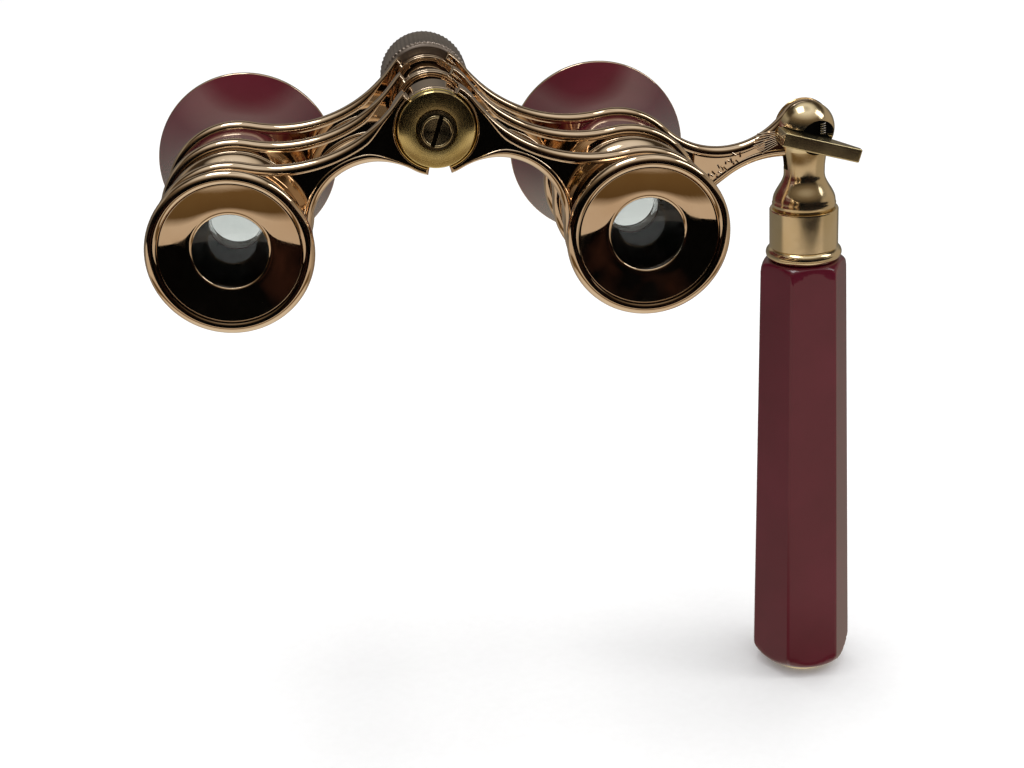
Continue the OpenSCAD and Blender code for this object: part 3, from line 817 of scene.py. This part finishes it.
washer = [(1.2, 5.1), (1.2, 4.55), (3.14, 4.5), (3.14, 5.1)]
piece("washer", turned(washer, hx, hz, 36 * 8, washer_tooth), WASHER, "left_ocular",
      ["screw_washer"])
head = rounded([(0.0, 10.9), (1.2, 10.9, 0.3), (1.2, 4.5), (2.45, 4.5), (2.45, 3.72, 0.1),
                (2.2, 3.7, 0.1), (2.1, 3.8, 0.06), (0.0, 3.76)], 3)
head_mesh = to_mesh("screw", turned(head, hx, hz, 96))
slot_shape = box_shape((-4, 3.0, -0.34), (4, 4.3, 0.34))
slot_shape.moved(Matrix.Translation((hx, 0, hz)) @ Matrix.Rotation(math.radians(-72), 4, "Y"))
piece("screw", cut(head_mesh, [slot_shape], 0.04), SCREW, "left_ocular", ["hinge_screw"])
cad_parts["wheel_clip"].data.materials.clear()
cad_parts["wheel_clip"].data.materials.append(STEEL)


# ---------------------------------------------------------------- handle

HANDLE = Matrix.Translation(KNUCKLE) @ Matrix.Rotation(-LEAN, 4, "Y")


def neck_radius(z):
    if z > -8.0:
        return 3.56 + 0.63 * ((z + 8.0) / 5.0) ** 2
    return 3.56 + (5.5 - 3.56) * (1 - math.cos(math.pi * (-8.0 - z) / 5.0)) / 2


ball = [(BALL_R * math.cos(math.radians(a)), BALL_R * math.sin(math.radians(a)))
        for a in [90 - 3.5 * i for i in range(36)]]
neck = [(neck_radius(-3.4 - 9.6 * i / 40), -3.4 - 9.6 * i / 40) for i in range(41)]
foot = rounded([(5.5, -13.0), (5.6, -13.3, 0.12), (5.6, -13.8, 0.12), (5.0, -13.9), (5.0, -14.2),
                (0.0, -14.2)], 4)
head_shape = turned_z(ball + neck + foot[1:]).moved(HANDLE)
fork = box_shape((-11, -1.45, -7), (11, 1.45, 14)).moved(HANDLE)
cutters = [fork]


def lever_frame(swing=0):
    """The lever's frame at its pin, raised by a swing in degrees from where it rests."""
    pin = Matrix.Translation((-3.4, 0, -0.5))
    droop = 17
    return HANDLE @ pin @ Matrix.Rotation(math.radians(droop - swing), 4, "Y")


for swing in (0, 9):
    slot_box = box_shape((-5.2, -12, -1.35), (16, -2.5, 1.35))
    cutters.append(slot_box.moved(lever_frame(swing)))
# A half-moon hollow above the lever, its flat side inside the slot
moon = prism(arc((4.7, 0.6), 3.4, 0, 180), -12, -2.5, 0.05)
cutters.append(moon.moved(lever_frame()))
pocket = turned([(0, -12), (3.1, -12), (3.1, -2.5), (0, -2.5)], 1.3, -1.0, 96).moved(HANDLE)
cutters.append(pocket)
head_mesh = cut(to_mesh("head", head_shape), cutters, 0.12)
knuckle = piece("knuckle", head_mesh, PALE, "handle", ["handle_head"])
# The walls of the slot and the hollow take the near-black finish, which is painted shade inside
# the recess
knuckle.data.materials.append(BLACK)
to_handle = HANDLE.inverted()
for face in knuckle.data.polygons:
    spot = to_handle @ (face.center / MM)
    if spot.length < BALL_R - 0.3 and spot.y < -2.0:
        face.material_index = 1

# The lever: a tapered bar, broader at the pivot and cut square at its tip
outline = [(-2.3, 25.9), (11.7, 25.9), (11.7, 27.2), (5.7, 31.05), (-2.3, 31.05)]
verts = [(x, y - KNUCKLE[1], z) for z in (-1.2, 1.2) for x, y in outline]
faces = [(0, 1, 2, 3, 4), (5, 6, 7, 8, 9)]
faces += [(i, (i + 1) % 5, 5 + (i + 1) % 5, 5 + i) for i in range(5)]
lever = Shape().add(verts, faces)
lever_mesh = cut(to_mesh("lever", lever.moved(lever_frame())), [], 0.28, 50)
piece("lever_bar", lever_mesh, LEVER, "lever", ["release_lever"])

band = [(2.5, -14.2), (5.7, -14.2), (5.93, -14.3), (6.05, -14.55), (6.05, -21.2), (5.9, -21.3)]
bead = [(5.55 + 1.15 * math.cos(math.radians(a)), -22.45 + 1.15 * math.sin(math.radians(a)))
        for a in range(68, -91, -8)]
ferrule = band + bead + [(5.5, -23.6), (4.4, -23.6), (4.4, -17.2), (2.5, -17.2)]
piece("ferrule_band", turned_z(ferrule).moved(HANDLE), PALE, "handle", ["ferrule"])

GRIP_TOP = -23.6
GRIP_END = -105.5


def hexagon(corner_r, soft):
    """A hexagon with rounded corners, as (angle, radius) pairs."""
    apothem = corner_r * math.cos(math.pi / 6)
    heart = (apothem - soft) / math.cos(math.pi / 6)
    points = []
    for k in range(6):
        middle = 60 * k
        centre = polar((0, 0), heart, middle)
        for i in range(9):
            points.append(polar(centre, soft, middle - 30 + 60 * i / 8))
        ahead = polar(polar((0, 0), heart, middle + 60), soft, middle + 30)
        here = points[-1]
        for i in range(1, 8):
            points.append(tuple(here[c] + (ahead[c] - here[c]) * i / 8 for c in (0, 1)))
    return points


def grip_levels():
    top = [GRIP_TOP - 2.0 + 2.0 * math.sin(math.radians(a)) for a in range(88, -1, -8)]
    body_part = [GRIP_TOP - 3 - (GRIP_TOP - GRIP_END - 8) * i / 24 for i in range(25)]
    end = [GRIP_END + 4.5 - 4.5 * math.sin(math.radians(a)) for a in range(4, 89, 7)]
    return top + body_part + end


def grip_envelope(z):
    reach = 99.0
    down = GRIP_TOP - z
    if down < 2.0:
        reach = 5.9 + math.sqrt(max(0.0, 4.0 - (2.0 - down) ** 2))
    up = z - GRIP_END
    if up < 4.5:
        reach = min(reach, 5.3 + math.sqrt(max(0.0, 20.25 - (4.5 - up) ** 2)))
    return reach


# How softly the hexagon meets the rounding at the grip's ends
SOFTNESS = 0.12
BORE_R = 2.5
rows = []
for z in grip_levels():
    t = (GRIP_TOP - z) / (GRIP_TOP - GRIP_END)
    limit = grip_envelope(z)
    ring = []
    for x, y in hexagon(7.9 + 1.7 * t, 0.75):
        r = math.hypot(x, y)
        sides = math.exp(-r / SOFTNESS) + math.exp(-min(limit, 40) / SOFTNESS)
        soft = -SOFTNESS * math.log(sides)
        ring.append((x * soft / r, y * soft / r, z))
    rows.append(ring)
width = len(rows[0])
verts = [v for ring in rows for v in ring]
grip = Shape().add(verts, loops_to_faces(len(rows), width, closed_rows=False))
count = len(rows)
for start, z in ((0, GRIP_TOP), ((count - 1) * width, GRIP_END)):
    inner = [(BORE_R * v[0] / math.hypot(v[0], v[1]), BORE_R * v[1] / math.hypot(v[0], v[1]), z)
             for v in verts[start:start + width]]
    grip.add(verts[start:start + width] + inner, loops_to_faces(2, width, closed_rows=False))
bore = [(v[0], v[1], z) for z in (GRIP_TOP, GRIP_END) for v in inner]
grip.add(bore, loops_to_faces(2, width, closed_rows=False))
grip.moved(HANDLE)
piece("grip_body", grip, ENAMEL, "handle", ["grip"])

# The lever's coil spring, squeezed from below as the lever is pressed
COILS = 5
ROUND = 10
COIL_STEPS = 16 * COILS
COIL_AT = (2.2, -3.45)
COIL_R = 0.55
WIRE_R = 0.11
COIL_LOW = -0.58
COIL_RISE = 2.06
spring = []
for i in range(COIL_STEPS + 1):
    t = i / COIL_STEPS
    a = TURN * COILS * t
    for k in range(ROUND):
        b = TURN * k / ROUND
        r = COIL_R + WIRE_R * math.cos(b)
        spring.append((COIL_AT[0] + r * math.cos(a), COIL_AT[1] + r * math.sin(a),
                       COIL_LOW + COIL_RISE * t + WIRE_R * math.sin(b)))
faces = loops_to_faces(COIL_STEPS + 1, ROUND, closed_rows=False)
faces.append(tuple(range(ROUND)))
faces.append(tuple(range(len(spring) - ROUND, len(spring))))
coil = piece("lever_coil", Shape().add(spring, faces).moved(HANDLE), STEEL, "handle",
             ["lever_spring"])
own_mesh(coil)

cap_profile = rounded([(0.0, -106.5), (5.5, -106.5, 0.3), (6.0, -105.5), (0.0, -105.5)], 5)
piece("grip_cap", turned_z(cap_profile).moved(HANDLE), PALE, "handle", ["end_cap"])

for name, finish in (("handle_pivot", PALE), ("lever_pin", STEEL), ("grip_rod", STEEL)):
    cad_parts[name].data.materials.clear()
    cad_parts[name].data.materials.append(finish)


# ---------------------------------------------------------------- studio

low = cad_box[0]
floor_mesh = bpy.data.meshes.new("floor")
half = 6.0
floor_mesh.from_pydata([(-half, -half, low[2]), (half, -half, low[2]),
                        (half, half, low[2]), (-half, half, low[2])], [], [(0, 1, 2, 3)])
floor = bpy.data.objects.new("floor", floor_mesh)
scene.collection.objects.link(floor)
floor.visible_glossy = False
paper = Nodes("floor_paper").set(Roughness=0.9, Specular_IOR_Level=0.1)
grain = paper.remap(paper.noise(600.0, 3.0), 0.3, 0.7, 0.0, 1.0)
paper.link(paper.blend(grain, (0.985, 0.985, 0.985), (0.965, 0.965, 0.965)),
           paper.shader.inputs["Base Color"])
floor_mesh.materials.append(paper.material)


# The dark room behind the viewer, which only reflections see: the table ends in front of it
room_mesh = bpy.data.meshes.new("dark_room")
near_edge = -0.245
room_mesh.from_pydata([(-2, near_edge, low[2]), (2, near_edge, low[2]), (2, near_edge, 0.1),
                       (-2, near_edge, 0.1)], [], [(0, 1, 2, 3)])
dark_room = bpy.data.objects.new("dark_room", room_mesh)
scene.collection.objects.link(dark_room)
dark_room.visible_camera = False
dark_room.visible_diffuse = False
dark_room.visible_shadow = False
dark_room.visible_transmission = False
cloth = Nodes("dark_cloth").set(Roughness=1.0, Specular_IOR_Level=0.0)
fold = cloth.remap(cloth.noise(9.0, 3.0), 0.5, 0.75, 0.0, 1.0)
cloth.link(cloth.blend(fold, (0.0015, 0.0015, 0.0015), (0.03, 0.012, 0.008)),
           cloth.shader.inputs["Base Color"])
room_mesh.materials.append(cloth.material)


def ramp(tree, stops):
    made = tree.nodes.new("ShaderNodeValToRGB")
    elements = made.color_ramp.elements
    while len(elements) > 1:
        elements.remove(elements[-1])
    for i, (degrees, colour) in enumerate(stops):
        position = (math.sin(math.radians(degrees)) + 1) / 2
        element = elements[0] if i == 0 else elements.new(position)
        element.position = position
        element.color = (*colour, 1)
    return made


# Surroundings that the metal mirrors: a white table below, a dark room behind the
# viewer and a pale wall beyond, by the height of each direction in degrees
NEAR = [(-90, (0.75, 0.70, 0.62)), (-48, (0.66, 0.58, 0.48)), (-42, (0.62, 0.53, 0.43)),
        (-39.5, (0.15, 0.09, 0.035)), (-31, (0.11, 0.065, 0.025)), (-27.5, (0.56, 0.46, 0.36)),
        (-9, (0.56, 0.47, 0.38)), (-6, (0.003, 0.003, 0.003)), (14, (0.003, 0.003, 0.003)),
        (26, (0.05, 0.035, 0.02)), (40, (0.16, 0.12, 0.08)), (56, (0.55, 0.50, 0.44)),
        (72, (0.85, 0.82, 0.78)), (90, (0.5, 0.47, 0.44))]
FAR = [(-90, (0.75, 0.70, 0.62)), (-45, (0.42, 0.36, 0.29)), (-15, (0.16, 0.145, 0.125)),
       (8, (0.12, 0.11, 0.10)), (26, (0.34, 0.30, 0.25)), (36, (0.05, 0.035, 0.02)),
       (52, (0.04, 0.03, 0.02)), (62, (0.6, 0.56, 0.5)), (74, (0.8, 0.77, 0.73)),
       (90, (0.5, 0.47, 0.44))]
world = bpy.data.worlds.new("studio")
world.use_nodes = True
scene.world = world
tree = world.node_tree
tree.nodes.clear()
coord = tree.nodes.new("ShaderNodeTexCoord")
split = tree.nodes.new("ShaderNodeSeparateXYZ")
tree.links.new(coord.outputs["Generated"], split.inputs[0])
height = tree.nodes.new("ShaderNodeMapRange")
height.inputs["From Min"].default_value = -1
height.inputs["From Max"].default_value = 1
tree.links.new(split.outputs["Z"], height.inputs["Value"])
near = ramp(tree, NEAR)
far = ramp(tree, FAR)


def smooth_share(axis, low_end, high_end):
    """0 to 1 as the direction's part along an axis goes from one value to another."""
    made = tree.nodes.new("ShaderNodeMapRange")
    made.interpolation_type = "SMOOTHSTEP"
    made.inputs["From Min"].default_value = low_end
    made.inputs["From Max"].default_value = high_end
    tree.links.new(split.outputs[axis], made.inputs["Value"])
    return made


beyond = smooth_share("Y", -0.12, 0.12)
sides = tree.nodes.new("ShaderNodeMix")
sides.data_type = "RGBA"
tree.links.new(height.outputs["Result"], near.inputs["Fac"])
tree.links.new(height.outputs["Result"], far.inputs["Fac"])
tree.links.new(beyond.outputs["Result"], sides.inputs[0])
tree.links.new(near.outputs["Color"], sides.inputs[6])
tree.links.new(far.outputs["Color"], sides.inputs[7])
# A pale curtain to the right, fading out upwards
flank = smooth_share("X", 0.66, 0.85)
level = smooth_share("Z", 0.6, 0.3)
share = tree.nodes.new("ShaderNodeMath")
share.operation = "MULTIPLY"
tree.links.new(flank.outputs["Result"], share.inputs[0])
tree.links.new(level.outputs["Result"], share.inputs[1])
room = tree.nodes.new("ShaderNodeMix")
room.data_type = "RGBA"
room.inputs[7].default_value = (0.36, 0.30, 0.23, 1)
tree.links.new(share.outputs[0], room.inputs[0])
tree.links.new(sides.outputs[2], room.inputs[6])
path = tree.nodes.new("ShaderNodeLightPath")
choose = tree.nodes.new("ShaderNodeMix")
choose.data_type = "RGBA"
choose.inputs[6].default_value = (1, 1, 1, 1)
tree.links.new(path.outputs["Is Glossy Ray"], choose.inputs[0])
tree.links.new(room.outputs[2], choose.inputs[7])
light = tree.nodes.new("ShaderNodeBackground")
tree.links.new(choose.outputs[2], light.inputs["Color"])
out = tree.nodes.new("ShaderNodeOutputWorld")
tree.links.new(light.outputs[0], out.inputs["Surface"])


def soft_light(name, place, aim, size, watts, colour=(1, 1, 1)):
    lamp = bpy.data.lights.new(name, "AREA")
    lamp.shape = "RECTANGLE"
    lamp.size = size[0]
    lamp.size_y = size[1]
    lamp.energy = watts
    lamp.color = colour
    obj = bpy.data.objects.new(name, lamp)
    obj.location = place
    obj.rotation_euler = (Vector(aim) - Vector(place)).to_track_quat("-Z", "Y").to_euler()
    scene.collection.objects.link(obj)
    return obj


soft_light("overhead", (-0.15, 0.05, 0.75), (0, 0.03, 0), (0.35, 0.25), 1.2)
soft_light("window", (0.6, -0.1, 0.55), (0, 0.03, 0), (0.25, 0.35), 0.8)

lens = bpy.data.cameras.new("camera")
lens.lens = 57.27
lens.sensor_width = 36.0
lens.clip_start = 0.01
camera = bpy.data.objects.new("camera", lens)
pose = (Matrix.Rotation(math.radians(-7.56), 4, "Z") @ Matrix.Rotation(math.radians(67.58), 4, "X")
        @ Matrix.Rotation(math.radians(2.03), 4, "Y"))
camera.matrix_world = Matrix.Translation((-0.0119, -0.2381, 0.0749)) @ pose
scene.collection.objects.link(camera)
scene.camera = camera
scene.view_settings.view_transform = "Standard"
scene.view_settings.look = "None"
